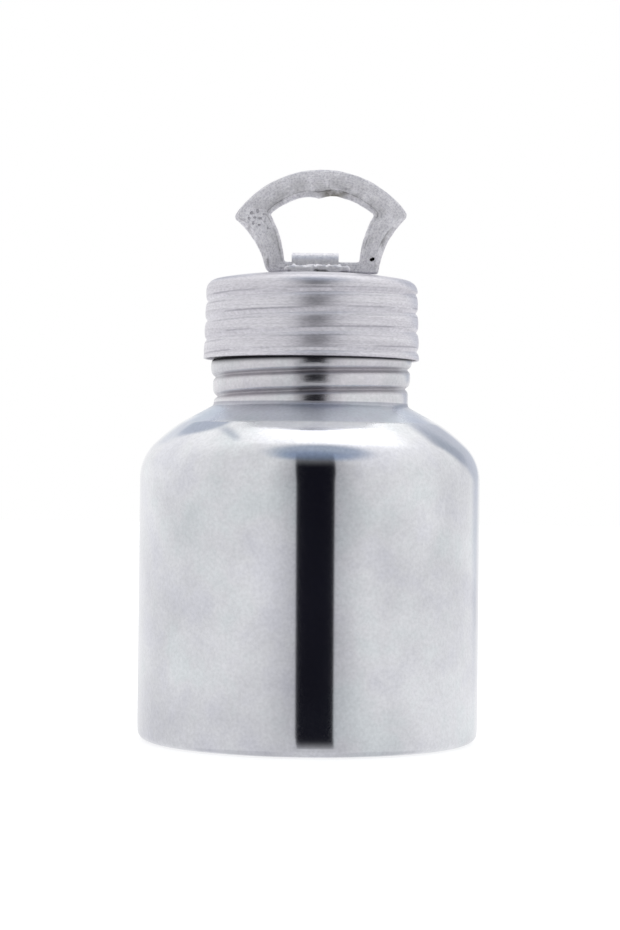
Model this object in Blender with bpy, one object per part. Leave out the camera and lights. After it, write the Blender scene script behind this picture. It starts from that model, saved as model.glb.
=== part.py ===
"""A ghee container of spun aluminium: a jar with a rolled neck thread, a pressed screw lid and a cast bail handle.

Everything is in metres, with +Z up. The origin is the centre of the base, on the surface that it stands on,
and the front of the container faces -Y. The lid is screwed right down and the handle stands upright.
"""

import math

import bmesh
import bpy
from mathutils import Matrix, Vector

# Fineness of the round pieces
COLUMNS = 48
SMALL_COLUMNS = 20

# Clearances
SEAT_GAP = 0.0003
HOLE_PLAY = 0.0003

# Jar: one piece, drawn and spun from sheet
BODY_RADIUS = 0.0565
BODY_WALL = 0.0010
SHOULDER_START = 0.0862
SHOULDER_BEND = 0.0165
SHOULDER_BEND_ANGLE = math.radians(50)
SHOULDER_CROWN = 0.0800
HEEL_RADIUS = 0.0030
FOOT_WIDTH = 0.0070
BASE_RISE = 0.0012
BASE_STEP = 0.0022

# Neck, with the thread rolled into its wall
NECK_RADIUS = 0.0334
NECK_FILLET = 0.0020
NECK_HEIGHT = 0.0388
RIM_BEAD_RADIUS = 0.0013
RIM_LIP = 0.0004

# Thread: broad rounded bands with a narrow groove between them, right-handed
THREAD_PITCH = 0.00635
THREAD_START = 0.0009
THREAD_FADE = 0.0020
THREAD_DEPTH = 0.0013
THREAD_PLAY = 0.0006
THREAD_ROOT_PLAY = 0.0002
THREAD_FORM = ((0.0, 0.0), (0.18, 0.82), (0.50, 1.0), (0.82, 0.82))

# Screw lid, pressed from sheet
LID_SHEET = 0.0009
LID_HEIGHT = 0.0265
LID_CORNER = 0.0038
LID_FLARE = 0.0006
LID_EDGE = 0.0003
CROWN_RISE = 0.0017
SEAT_MARGIN = 0.0004

# Seal washer inside the lid
SEAL_THICKNESS = 0.0015
SEAL_INSIDE = 0.0022
SEAL_OUTSIDE = 0.0009
SEAL_CHAMFER = 0.0010

# Handle, cast in one piece with the bar that it turns on
HANDLE_THICKNESS = 0.0044
HANDLE_EDGE = 0.0017
HANDLE_SLIP = 0.0034
FAN_RADIUS = 0.0350
FAN_BAND = 0.0085
FAN_DROP = 0.0026
TIP_ANGLE = math.radians(33.5)
CORNER_ANGLE = math.radians(49.4)
CUSP_DEPTH = 0.0012
CUSP_REACH = 0.0055
BAR_SIDE_PLAY = 0.0044
LEG_FOOT = 0.0056
BAR_HEIGHT = 0.0039
BAR_THICKNESS = 0.0038
LEG_BOW_OUTSIDE = 0.0020
LEG_BOW_INSIDE = 0.0010
TIP_ROUNDING = 0.0010
PIT_RADIUS = 0.0008
PIT_DEPTH = 0.0018
PIT_ACROSS = 0.0165
PIT_HEIGHT = 0.0025

# Clip, a bent strip that holds the handle's bar down on the lid
CLIP_WIDTH = 0.0160
CLIP_SHEET = 0.0010
CLIP_RISE = 0.0069
CLIP_PLAY = 0.0003
CLIP_MARGIN = 0.0010
CLIP_BEND = 0.0008
CLIP_OFFSET = 0.0012

# Rivets
RIVET_SHANK = 0.0014
RIVET_HEAD_LIP = 0.0008
RIVET_HEAD_HEIGHT = 0.0013
RIVET_TAIL_LIP = 0.0009
RIVET_TAIL_HEIGHT = 0.0009

# Places that follow from the sizes above
foot_outside = BODY_RADIUS - HEEL_RADIUS
foot_inside = foot_outside - FOOT_WIDTH
bend_centre = Vector((BODY_RADIUS - SHOULDER_BEND, SHOULDER_START))
crown_centre = bend_centre + (SHOULDER_BEND - SHOULDER_CROWN) * Vector(
    (math.cos(SHOULDER_BEND_ANGLE), math.sin(SHOULDER_BEND_ANGLE))
)
fillet_radius_out = NECK_RADIUS + NECK_FILLET
neck_foot = crown_centre.y + math.sqrt(
    (SHOULDER_CROWN + NECK_FILLET) ** 2 - (fillet_radius_out - crown_centre.x) ** 2
)
rim_top = neck_foot + NECK_HEIGHT
neck_floor = NECK_RADIUS - THREAD_DEPTH
groove_at_back = neck_foot + THREAD_START

seal_bottom = rim_top + SEAT_GAP
seal_top = seal_bottom + SEAL_THICKNESS
lid_thread_depth = THREAD_DEPTH - THREAD_ROOT_PLAY
lid_top = seal_top + SEAT_GAP + LID_SHEET
lid_bottom = lid_top - LID_HEIGHT
lid_radius = NECK_RADIUS + THREAD_PLAY + LID_SHEET
corner_start = lid_radius - LID_CORNER
seat_height = lid_top + CROWN_RISE

clip_inside = HANDLE_THICKNESS / 2 + CLIP_PLAY
clip_outside = clip_inside + CLIP_SHEET
rivet_head_radius = RIVET_SHANK + RIVET_HEAD_LIP
rivet_reach = clip_outside + CLIP_MARGIN + rivet_head_radius
clip_reach = rivet_reach + rivet_head_radius + CLIP_MARGIN
clip_base = seat_height + SEAT_GAP
seat_radius = math.hypot(CLIP_WIDTH / 2 + abs(CLIP_OFFSET), clip_reach) + SEAT_MARGIN

bar_half_length = CLIP_WIDTH / 2 + BAR_SIDE_PLAY
foot_half_length = bar_half_length + LEG_FOOT
pivot_height = seat_height + SEAT_GAP + HANDLE_THICKNESS / 2


def clear_scene():
    """Removes what the scene starts with."""
    for found in list(bpy.data.objects):
        bpy.data.objects.remove(found, do_unlink=True)


def metal(name, colour, roughness):
    """A bare metal, by its colour and how rough its surface is."""
    made = bpy.data.materials.new(name)
    made.use_nodes = True
    shader = made.node_tree.nodes["Principled BSDF"]
    shader.inputs["Base Color"].default_value = (*colour, 1.0)
    shader.inputs["Metallic"].default_value = 1.0
    shader.inputs["Roughness"].default_value = roughness
    made.diffuse_color = (*colour, 1.0)
    return made


def rubber(name, colour, roughness):
    """A soft washer material."""
    made = metal(name, colour, roughness)
    made.node_tree.nodes["Principled BSDF"].inputs["Metallic"].default_value = 0.0
    return made


def group_empty(name, place, parent=None):
    """An empty on a joint's axis, which carries the pieces that move together."""
    empty = bpy.data.objects.new(name, None)
    empty.empty_display_size = 0.01
    bpy.context.scene.collection.objects.link(empty)
    empty.parent = parent
    empty.location = place
    return empty


def add_object(name, bm, material, place=(0, 0, 0), parent=None):
    """Closes the bmesh into an object: doubles merged, faces outwards, smooth but for its real edges."""
    bmesh.ops.remove_doubles(bm, verts=bm.verts, dist=1e-7)
    bmesh.ops.recalc_face_normals(bm, faces=bm.faces)
    if bm.calc_volume(signed=True) < 0:
        bmesh.ops.reverse_faces(bm, faces=bm.faces)
    mesh = bpy.data.meshes.new(name)
    bm.to_mesh(mesh)
    bm.free()
    mesh.shade_smooth()
    mesh.set_sharp_from_angle(angle=math.radians(35))
    made = bpy.data.objects.new(name, mesh)
    bpy.context.scene.collection.objects.link(made)
    if material:
        mesh.materials.append(material)
    made.parent = parent
    made.location = place
    return made


def add_cutter(name, radius, start, end, parent):
    """A round cutter from start to end, which shows only as wire."""
    bm = bmesh.new()
    along = Vector(end) - Vector(start)
    made = bmesh.ops.create_cone(
        bm,
        cap_ends=True,
        segments=SMALL_COLUMNS,
        radius1=radius,
        radius2=radius,
        depth=along.length,
    )
    half_column = Matrix.Rotation(math.pi / SMALL_COLUMNS, 3, "Z")
    turn = Vector((0, 0, 1)).rotation_difference(along).to_matrix() @ half_column
    bmesh.ops.rotate(bm, verts=made["verts"], cent=(0, 0, 0), matrix=turn)
    cutter = add_object(name, bm, None, (Vector(start) + Vector(end)) / 2, parent)
    cutter.hide_render = True
    cutter.display_type = "WIRE"
    return cutter


def cut(piece, cutter):
    """Takes the cutter's shape out of the piece."""
    boolean = piece.modifiers.new(cutter.name, "BOOLEAN")
    boolean.operation = "DIFFERENCE"
    boolean.solver = "EXACT"
    boolean.object = cutter


def arc(centre, radius, start, end, steps):
    """Points on an arc from one angle to another, both ends included."""
    angles = [start + (end - start) * i / steps for i in range(steps + 1)]
    return [
        Vector((centre[0] + radius * math.cos(a), centre[1] + radius * math.sin(a)))
        for a in angles
    ]


def offset_line(points, distance):
    """The line moved to its left by the same distance everywhere, with mitred corners."""
    moved = []
    for i, point in enumerate(points):
        before = point - points[i - 1] if i else points[1] - point
        after = points[i + 1] - point if i < len(points) - 1 else before
        normals = [Vector((-d.y, d.x)).normalized() for d in (before, after)]
        mitre = (normals[0] + normals[1]) / (1 + normals[0].dot(normals[1]))
        moved.append(point + distance * mitre)
    return moved


def smooth(value):
    """0 below 0 and 1 above 1, with an even turn between."""
    t = min(1.0, max(0.0, value))
    return t * t * (3 - 2 * t)


def thread_rows(angle, low, high):
    """The thread's rows at one angle, as (row number, height, share of the full band).

    A row climbs one pitch a turn, so a row one turn on has the number of the form's length added.
    """
    turns = (angle - math.pi / 2) / math.tau
    lowest = math.floor((low - groove_at_back) / THREAD_PITCH - turns) - 1
    highest = math.ceil((high - groove_at_back) / THREAD_PITCH - turns) + 1
    rows = []
    for number in range(lowest, highest):
        for i, (phase, band) in enumerate(THREAD_FORM):
            height = groove_at_back + THREAD_PITCH * (turns + number + phase)
            if low + SEAT_GAP < height < high - SEAT_GAP:
                rows.append((number * len(THREAD_FORM) + i, height, band))
    return rows


def neck_band(height, band, low, high):
    """How full the neck's band is: it closes to plain sheet at the foot, and dies out at the rim."""
    closed = 1 - (1 - band) * smooth((height - low) / THREAD_FADE)
    return closed * smooth((high - height) / THREAD_FADE)


def lid_groove(height, band, low, high):
    """How deep the lid's groove is: it runs out at the lower edge and below the corner."""
    return (
        (1 - band)
        * smooth((height - low) / THREAD_FADE)
        * smooth((high - height) / THREAD_FADE)
    )


def turned_wall(bm, below, above, low=0.0, high=0.0, radius_at=None, inward=False):
    """One side of a round shell: plain rows, then threaded rows between two heights, then plain rows.

    Each column of points is stitched to the next by row number. Where only one of the two has a row,
    because the thread climbs past the end of its stretch there, a single triangle closes the step.
    """
    far = 100000
    columns = []
    for c in range(COLUMNS):
        angle = math.tau * c / COLUMNS
        rows = [(i - far, p.x, p.y) for i, p in enumerate(below)]
        if radius_at:
            rows += [
                (number, radius_at(height, band), height)
                for number, height, band in thread_rows(angle, low, high)
            ]
        rows += [(i + far, p.x, p.y) for i, p in enumerate(above)]
        direction = Vector((math.cos(angle), math.sin(angle), 0))
        columns.append(
            [(n, bm.verts.new(direction * r + Vector((0, 0, z)))) for n, r, z in rows]
        )
    for c in range(COLUMNS):
        left = columns[c]
        right = columns[(c + 1) % COLUMNS]
        if c == COLUMNS - 1:
            climb = len(THREAD_FORM)
            right = [(n - climb if abs(n) < far // 2 else n, v) for n, v in right]
        stitch(bm, left, right, inward)


def stitch(bm, left, right, inward):
    """Faces between two columns of numbered points."""
    i = j = 0
    while i < len(left) - 1 or j < len(right) - 1:
        next_left = left[i + 1][0] if i < len(left) - 1 else math.inf
        next_right = right[j + 1][0] if j < len(right) - 1 else math.inf
        corners = [left[i][1], right[j][1]]
        if next_right <= next_left:
            j += 1
            corners.append(right[j][1])
        if next_left <= next_right:
            i += 1
            corners.append(left[i][1])
        bm.faces.new(reversed(corners) if inward else corners)


def turned_solid(bm, outline, columns, centre=(0, 0)):
    """Spins a closed outline of (radius, height) points about an upright axis."""
    verts = [bm.verts.new((p[0] + centre[0], centre[1], p[1])) for p in outline]
    on_axis = outline[0][0] == 0 and outline[-1][0] == 0
    ends = len(verts) - 1 if on_axis else len(verts)
    edges = [bm.edges.new((verts[i], verts[(i + 1) % len(verts)])) for i in range(ends)]
    bmesh.ops.spin(
        bm,
        geom=verts + edges,
        cent=(centre[0], centre[1], 0),
        axis=(0, 0, 1),
        angle=math.tau,
        steps=columns,
        use_merge=True,
    )


def build_jar(material):
    """Base, wall, shoulder and threaded neck in one sheet, with the rim curled into a bead."""
    fillet_centre = Vector((fillet_radius_out, neck_foot))
    meeting = (fillet_centre - crown_centre).angle_signed(Vector((1, 0)))
    below = [
        Vector((0, BASE_RISE)),
        Vector((foot_inside - BASE_STEP, BASE_RISE)),
        Vector((foot_inside, 0)),
    ]
    heel_centre = (foot_outside, HEEL_RADIUS)
    below += arc(heel_centre, HEEL_RADIUS, -math.pi / 2, 0, 3)
    below += arc(bend_centre, SHOULDER_BEND, 0, SHOULDER_BEND_ANGLE, 5)
    below += arc(crown_centre, SHOULDER_CROWN, SHOULDER_BEND_ANGLE, meeting, 2)[1:]
    below += arc(fillet_centre, NECK_FILLET, math.pi + meeting, math.pi, 2)[1:]

    bead = (neck_floor + RIM_LIP - RIM_BEAD_RADIUS, rim_top - RIM_BEAD_RADIUS)
    outside_meets = -math.acos((neck_floor - bead[0]) / RIM_BEAD_RADIUS)
    bore = neck_floor - BODY_WALL
    inside_meets = math.tau - math.acos((bore - bead[0]) / RIM_BEAD_RADIUS)
    above = arc(bead, RIM_BEAD_RADIUS, outside_meets, inside_meets, 8)
    thread_top = above[0].y

    def outside(height, band):
        share = neck_band(height, band, neck_foot, thread_top)
        return neck_floor + THREAD_DEPTH * share

    def inside(height, band):
        return outside(height, band) - BODY_WALL

    bm = bmesh.new()
    turned_wall(bm, below, above, neck_foot, thread_top, outside)
    lining = offset_line(below, BODY_WALL)
    turned_wall(bm, lining, above[-1:], neck_foot, above[-1].y, inside, inward=True)
    return add_object("jar", bm, material)


def build_lid(material, parent):
    """Threaded skirt, rounded corner and a low crown with a flat seat for the clip, all in one sheet."""
    inner_radius = lid_radius - LID_SHEET
    thread_top = lid_top - LID_CORNER

    def flare(height):
        return LID_FLARE * (thread_top - height) / (thread_top - lid_bottom)

    def outside(height, band):
        groove = lid_thread_depth * lid_groove(height, band, lid_bottom, thread_top)
        return lid_radius + flare(height) - groove

    def inside(height, band):
        return outside(height, band) - LID_SHEET

    edge = lid_bottom + LID_EDGE
    edge_radius = lid_radius + flare(edge)
    middle = edge_radius - LID_SHEET / 2
    below_outside = [Vector((middle, lid_bottom)), Vector((edge_radius, edge))]
    below_inside = [below_outside[0], Vector((edge_radius - LID_SHEET, edge))]

    crown_slope = math.atan(2 * CROWN_RISE / (corner_start - seat_radius))
    corner_end = math.pi / 2 - crown_slope
    corner = (corner_start, lid_top - LID_CORNER)
    corner_line = arc(corner, LID_CORNER, 0, corner_end, 4)
    crown = [corner_line[-1]]
    for share in (0.75, 0.5, 0.25, 0.0):
        radius = seat_radius + (crown[0].x - seat_radius) * share
        height = seat_height - (seat_height - crown[0].y) * share**2
        crown.append(Vector((radius, height)))
    crown.append(Vector((0, seat_height)))
    above_outside = corner_line + crown[1:]
    inner_corner = arc(corner, inner_radius - corner_start, 0, corner_end, 3)
    above_inside = inner_corner + offset_line(crown, LID_SHEET)[1:]

    bm = bmesh.new()
    turned_wall(bm, below_outside, above_outside, edge, thread_top, outside)
    turned_wall(
        bm, below_inside, above_inside, edge, thread_top, inside, inward=True
    )
    bmesh.ops.translate(bm, verts=bm.verts, vec=(0, 0, -lid_bottom))
    return add_object("screw_lid", bm, material, parent=parent)


def build_seal(material, parent):
    """Flat washer between the neck's rim and the lid, its upper edge cut to clear the lid's corner."""
    inside = neck_floor - BODY_WALL - RIM_BEAD_RADIUS - SEAL_INSIDE
    outside = NECK_RADIUS - SEAL_OUTSIDE
    outline = [
        (inside, 0),
        (outside, 0),
        (outside, SEAL_THICKNESS - SEAL_CHAMFER),
        (outside - SEAL_CHAMFER, SEAL_THICKNESS),
        (inside, SEAL_THICKNESS),
    ]
    bm = bmesh.new()
    turned_solid(bm, outline, COLUMNS)
    return add_object("lid_seal", bm, material, parent=parent)


def build_clip(material, parent):
    """A strip bent over the handle's bar, with a flange in front and one behind, each lying on the lid."""
    arch_height = CLIP_RISE - clip_outside
    bend_height = CLIP_SHEET + CLIP_BEND
    bend_centre_out = clip_outside + CLIP_BEND
    half = [Vector((clip_reach, 0)), Vector((clip_reach, CLIP_SHEET))]
    half += arc((bend_centre_out, bend_height), CLIP_BEND, -math.pi / 2, -math.pi, 3)
    half += arc((0, arch_height), clip_outside, 0, math.pi / 2, 6)
    inner = arc((0, arch_height), clip_inside, math.pi / 2, 0, 6)
    inner += arc(
        (bend_centre_out, bend_height),
        CLIP_BEND + CLIP_SHEET,
        -math.pi,
        -math.pi / 2,
        3,
    )
    mirrored_outer = [Vector((-p.x, p.y)) for p in reversed(half[:-1])]
    mirrored_inner = [Vector((-p.x, p.y)) for p in reversed(inner[1:])]
    outline = half + mirrored_outer + mirrored_inner + inner
    bm = bmesh.new()
    left = CLIP_OFFSET - CLIP_WIDTH / 2
    verts = [bm.verts.new((left, p.x, p.y)) for p in outline]
    face = bm.faces.new(verts)
    grown = bmesh.ops.extrude_face_region(bm, geom=[face])
    far_side = [g for g in grown["geom"] if isinstance(g, bmesh.types.BMVert)]
    bmesh.ops.translate(bm, verts=far_side, vec=(CLIP_WIDTH, 0, 0))
    return add_object(
        "handle_clip", bm, material, (0, 0, clip_base - lid_bottom), parent
    )


def build_rivet(name, place, material, parent):
    """Solid rivet: a domed head on the clip, a shank through clip and lid, and a flat tail inside the lid."""
    head_base = CLIP_SHEET + SEAT_GAP
    tail_top = -SEAT_GAP - LID_SHEET - SEAT_GAP
    tail_radius = RIVET_SHANK + RIVET_TAIL_LIP
    dome_radius = (rivet_head_radius**2 + RIVET_HEAD_HEIGHT**2) / 2 / RIVET_HEAD_HEIGHT
    dome_centre = head_base + RIVET_HEAD_HEIGHT - dome_radius
    rise = math.asin((head_base - dome_centre) / dome_radius)
    dome = arc((0, dome_centre), dome_radius, rise, math.pi / 2, 3)
    outline = [
        (0, tail_top - RIVET_TAIL_HEIGHT),
        (tail_radius, tail_top - RIVET_TAIL_HEIGHT),
        (tail_radius, tail_top),
        (RIVET_SHANK, tail_top),
        (RIVET_SHANK, head_base),
        (rivet_head_radius, head_base),
    ]
    outline += [(p.x, p.y) for p in dome[1:-1]] + [(0, dome[-1].y)]
    bm = bmesh.new()
    turned_solid(bm, outline, SMALL_COLUMNS)
    return add_object(name, bm, material, place, parent)


def bowed(start, end, bow, steps):
    """Points on a shallow curve between two points, bowed to its left, both ends included."""
    chord = end - start
    left = Vector((-chord.y, chord.x)).normalized()
    shares = [i / steps for i in range(steps + 1)]
    return [start + chord * t + left * 4 * bow * t * (1 - t) for t in shares]


def rounded(before, corner, after, radius, steps):
    """The points of a corner rounded to a radius."""
    back = (before - corner).normalized()
    on = (after - corner).normalized()
    half_angle = back.angle(on) / 2
    reach = radius / math.tan(half_angle)
    centre = corner + (back + on).normalized() * radius / math.sin(half_angle)
    start = corner + back * reach - centre
    end = corner + on * reach - centre
    first = math.atan2(start.y, start.x)
    return arc(centre, radius, first, first - start.angle_signed(end), steps)


def handle_stations():
    """The right half of the handle from the middle of the bar to the top, as pairs of outer and inner points.

    The points are about the pivot: across, and up.
    """
    fan_centre = Vector((0, -FAN_DROP))
    bar_bottom = -HANDLE_THICKNESS / 2
    bar_top = bar_bottom + BAR_HEIGHT
    inner_radius = FAN_RADIUS - FAN_BAND
    foot = Vector((foot_half_length, bar_bottom))
    crotch = Vector((bar_half_length, bar_top))
    tip = fan_centre + FAN_RADIUS * Vector((math.cos(TIP_ANGLE), math.sin(TIP_ANGLE)))
    corner = fan_centre + inner_radius * Vector(
        (math.cos(CORNER_ANGLE), math.sin(CORNER_ANGLE))
    )
    leg_steps = 5
    fan_steps = 9
    outer_leg = bowed(foot, tip, LEG_BOW_OUTSIDE, leg_steps)
    inner_leg = bowed(crotch, corner, LEG_BOW_INSIDE, leg_steps)
    outer_fan = arc(fan_centre, FAN_RADIUS, TIP_ANGLE, math.pi / 2, fan_steps)
    inner_fan = []
    for point in arc(
        fan_centre, inner_radius, CORNER_ANGLE, math.pi / 2, fan_steps
    ):
        nearness = max(0.0, 1 - abs(point.x) / CUSP_REACH)
        inner_fan.append(Vector((point.x, point.y - CUSP_DEPTH * nearness**2)))

    outer = [Vector((0, bar_bottom)), Vector((bar_half_length / 2, bar_bottom))]
    inner = [Vector((0, bar_top)), Vector((bar_half_length / 2, bar_top))]
    outer += rounded(outer[-1], foot, outer_leg[1], TIP_ROUNDING, 2)
    inner += rounded(inner[-1], crotch, inner_leg[1], TIP_ROUNDING, 2)
    outer += outer_leg[1:-1]
    inner += inner_leg[1:-1]
    outer += rounded(outer_leg[-2], tip, outer_fan[1], TIP_ROUNDING, 2)
    inner += rounded(inner_leg[-2], corner, inner_fan[1], TIP_ROUNDING, 2)
    outer += outer_fan[1:]
    inner += inner_fan[1:]
    return list(zip(outer, inner))


def section(outer, inner):
    """A rounded section of the handle between an outer and an inner point, as (point, depth) pairs."""
    half_width = (outer - inner).length / 2
    across = (outer - inner).normalized()
    middle = (outer + inner) / 2
    on_bar = min(outer.y, inner.y) < 0
    half_depth = (BAR_THICKNESS if on_bar else HANDLE_THICKNESS) / 2
    edge = min(HANDLE_EDGE, half_width * 0.95, half_depth * 0.95)
    corners = [(1, 1), (-1, 1), (-1, -1), (1, -1)]
    ring = []
    for quarter, (side, depth) in enumerate(corners):
        for step in range(3):
            angle = math.pi / 2 * (quarter + step / 2)
            along = side * (half_width - edge) + edge * math.cos(angle)
            deep = depth * (half_depth - edge) + edge * math.sin(angle)
            ring.append((middle + across * along, deep))
    return ring


def build_handle(material, parent):
    """A closed loop of rounded sections: bar, legs and fan, with a small casting pit in one foot."""
    half = handle_stations()
    mirrored = [
        (Vector((-o.x, o.y)), Vector((-i.x, i.y))) for o, i in reversed(half[1:-1])
    ]
    bm = bmesh.new()
    rings = []
    for outer, inner in half + mirrored:
        ring = section(outer, inner)
        rings.append([bm.verts.new((p.x, deep, p.y)) for p, deep in ring])
    for here, beyond in zip(rings, rings[1:] + rings[:1]):
        for k in range(len(here)):
            after = (k + 1) % len(here)
            bm.faces.new((here[k], here[after], beyond[after], beyond[k]))
    handle = add_object("handle", bm, material, parent=parent)
    face = -HANDLE_THICKNESS / 2
    pit = add_cutter(
        "pit_cutter",
        PIT_RADIUS,
        (PIT_ACROSS, face - PIT_DEPTH, PIT_HEIGHT),
        (PIT_ACROSS, face + PIT_DEPTH, PIT_HEIGHT),
        parent,
    )
    cut(handle, pit)
    return handle


def build_container():
    """The jar, then the lid and what is riveted to it, then the handle, each under the empty that it moves with."""
    polished = metal("polished_aluminium", (0.80, 0.81, 0.83), 0.12)
    turned = metal("turned_aluminium", (0.72, 0.72, 0.74), 0.35)
    cast = metal("cast_aluminium", (0.62, 0.62, 0.64), 0.50)
    white_rubber = rubber("white_rubber", (0.80, 0.79, 0.74), 0.60)

    build_jar(polished)
    seal_group = group_empty("seal_lifts", (0, 0, seal_bottom))
    build_seal(white_rubber, seal_group)
    lid_group = group_empty("lid_turns", (0, 0, lid_bottom - seal_bottom), seal_group)
    lid = build_lid(turned, lid_group)
    clip = build_clip(turned, lid_group)
    for name, side in (("front", -1), ("rear", 1)):
        place = Vector((0, side * rivet_reach, clip_base - lid_bottom))
        build_rivet(f"clip_rivet_{name}", place, turned, lid_group)
        depth = Vector((0, 0, CLIP_RISE))
        hole = RIVET_SHANK + HOLE_PLAY
        cutter = add_cutter(
            f"{name}_hole_cutter", hole, place - depth, place + depth, lid_group
        )
        cut(lid, cutter)
        cut(clip, cutter)
    handle_group = group_empty(
        "handle_folds", (HANDLE_SLIP, 0, pivot_height - lid_bottom), lid_group
    )
    build_handle(cast, handle_group)


clear_scene()
build_container()
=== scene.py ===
# %% [markdown]
# # A ghee container of spun aluminium
#
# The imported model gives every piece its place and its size. This lesson lays a finer surface over each
# piece, gives it the finish of the real metal, and lights it in a small white studio.

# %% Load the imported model
import math

import bpy
import numpy as np
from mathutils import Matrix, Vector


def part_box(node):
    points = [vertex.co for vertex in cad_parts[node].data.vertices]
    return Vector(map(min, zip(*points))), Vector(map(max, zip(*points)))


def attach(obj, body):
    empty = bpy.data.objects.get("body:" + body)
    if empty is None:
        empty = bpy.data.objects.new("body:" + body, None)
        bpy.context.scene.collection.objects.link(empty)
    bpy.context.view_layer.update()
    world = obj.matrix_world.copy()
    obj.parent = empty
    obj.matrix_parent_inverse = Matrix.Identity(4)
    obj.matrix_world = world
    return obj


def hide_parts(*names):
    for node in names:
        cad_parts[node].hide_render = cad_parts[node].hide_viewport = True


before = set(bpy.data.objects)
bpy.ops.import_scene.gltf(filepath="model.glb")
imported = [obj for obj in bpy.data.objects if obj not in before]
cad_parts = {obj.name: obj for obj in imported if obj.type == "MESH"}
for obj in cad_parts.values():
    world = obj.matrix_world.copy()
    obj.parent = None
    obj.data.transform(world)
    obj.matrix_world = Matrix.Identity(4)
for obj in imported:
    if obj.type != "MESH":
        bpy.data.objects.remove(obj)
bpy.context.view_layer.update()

# %% [markdown]
# ## Sizes
#
# The numbers below are millimetres, the same as in the part. Heights that several pieces share are read
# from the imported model, so that lid, neck and clip stay in step with it.

# %% The container's sizes
MM = 0.001


def limits(node):
    """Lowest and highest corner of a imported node, in millimetres."""
    return [np.array(corner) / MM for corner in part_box(node)]


BODY_R, WALL, HEEL_R, BASE_RISE, SHOULDER_Z = 56.5, 1.0, 3.0, 1.2, 86.2
NECK_FOOT_R, PITCH, THREAD_DEPTH, BEAD_R, RIM_LIP = 32.3, 6.35, 1.3, 1.3, 0.4
CLIP_IN, CLIP_SHEET, CLIP_BEND, CLIP_RISE, CLIP_REACH = 2.5, 1.0, 0.8, 6.9, 9.9
CROWN_RISE = 1.7
under_rim = 32.1
rim_top = limits("jar")[1][2]
groove_at_back = 112.025
lid_bottom, seat_top = limits("screw_lid")[0][2], limits("screw_lid")[1][2]
visible_seat = seat_top - 0.35
lid_top = visible_seat - CROWN_RISE
lid_radius = 35.2
clip_base = limits("handle_clip")[0][2]
clip_x = 0.9
pivot = np.array([3.1, 0.0, clip_base + 2.2])
print("rim %.2f, lid %.2f to %.2f, pivot %.2f" % (rim_top, lid_bottom, seat_top, pivot[2]))

# %% [markdown]
# ## Surfaces from arrays
#
# Each shape is a grid of points that numpy works out in one go: rows run along a profile and columns run
# round it. One function turns any such grid into a mesh, closes its ends and turns its faces outwards.

# %% Lines and arcs


def arc(centre, radius, start, end, count):
    """Points centre + radius * (cos a, sin a), with a running evenly from start to end in degrees."""
    a = np.radians(np.linspace(start, end, count))
    return np.stack([centre[0] + radius * np.cos(a), centre[1] + radius * np.sin(a)], 1)


def on_circle(centre, radius, angle):
    """The one point of such an arc at that angle."""
    return arc(centre, radius, angle, angle, 1)[0]


def around(count):
    """That many angles, in even steps once round."""
    return np.linspace(0, 2 * math.pi, count, endpoint=False)


def line(start, end, count):
    """Points start + t * (end - start), with t running evenly from 0 to 1."""
    t = np.linspace(0, 1, count)[:, None]
    return np.array(start) * (1 - t) + np.array(end) * t


# %% From a grid of points to a mesh


def put(name, data):
    """A new object in the scene, for a mesh or a camera."""
    made = bpy.data.objects.new(name, data)
    bpy.context.scene.collection.objects.link(made)
    return made


def keep_mark(mesh, name, domain, values):
    """Keeps a value for each point or face of a mesh, for the materials to read."""
    mesh.attributes.new(name, "FLOAT", domain).data.foreach_set("value", values.astype(np.float32))


def enclosed(points, triangles):
    """Volume inside a closed mesh: the sum of a . (b x c) / 6 over its triangles."""
    a, b, c = (points[triangles[:, k]] for k in range(3))
    return np.einsum("ij,ij->", a, np.cross(b, c)) / 6


def add_surface(name, grid, ends="loop", sharp=40, marks=()):
    """A closed mesh over a grid of points (row, column, xyz) in millimetres, whose columns close round.

    With ends "loop" the last row joins the first. With ends "caps" the first and the last row are each
    drawn together in their middle point, and with ends "flat" each is closed by one face. Marks are (name,
    one value for each grid point) pairs.
    """
    rows, columns = grid.shape[:2]
    points = grid.reshape(-1, 3)
    row, ring = np.arange(rows if ends == "loop" else rows - 1)[:, None], np.arange(columns)
    here, after, beside = row * columns, (row + 1) % rows * columns, (ring + 1) % columns
    sides = np.stack([here + ring, here + beside, after + beside, after + ring], -1).reshape(-1, 4)
    triangles = np.concatenate([sides[:, [0, 1, 2]], sides[:, [0, 2, 3]]])
    faces = sides.tolist()
    if ends != "loop":
        base = (rows - 1) * columns
        first, last = (rows * columns, rows * columns + 1) if ends == "caps" else (0, base)
        low = np.stack([np.full(columns, first), beside, ring], 1)
        high = np.stack([np.full(columns, last), base + ring, base + beside], 1)
        triangles = np.concatenate([triangles, low, high])
        if ends == "caps":
            points = np.concatenate([points, grid[0].mean(0)[None], grid[-1].mean(0)[None]])
            faces += low.tolist() + high.tolist()
        else:
            faces += [ring[::-1].tolist(), (base + ring).tolist()]
    volume = enclosed(points, triangles)
    if volume < 0:
        faces = [face[::-1] for face in faces]
    mesh = bpy.data.meshes.new(name)
    mesh.from_pydata((points * MM).tolist(), [], faces)
    for mark, values in marks:
        kept = np.zeros(len(points))
        kept[: rows * columns] = np.broadcast_to(values, (rows, columns)).ravel()
        keep_mark(mesh, mark, "POINT", kept)
    mesh.shade_smooth()
    mesh.set_sharp_from_angle(angle=math.radians(sharp))
    print("%s: %d faces, %.2f cm3" % (name, len(faces), abs(volume) / 1000))
    return put(name, mesh)


# %% Turning a profile on the lathe


def turned(profile, columns):
    """A profile of (radius, height) rows spun about +Z: (r cos a, r sin a, z). Radius may vary round."""
    (radius, height), angle = profile, around(columns)
    return np.stack(np.broadcast_arrays(radius * np.cos(angle), radius * np.sin(angle), height), -1)


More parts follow.
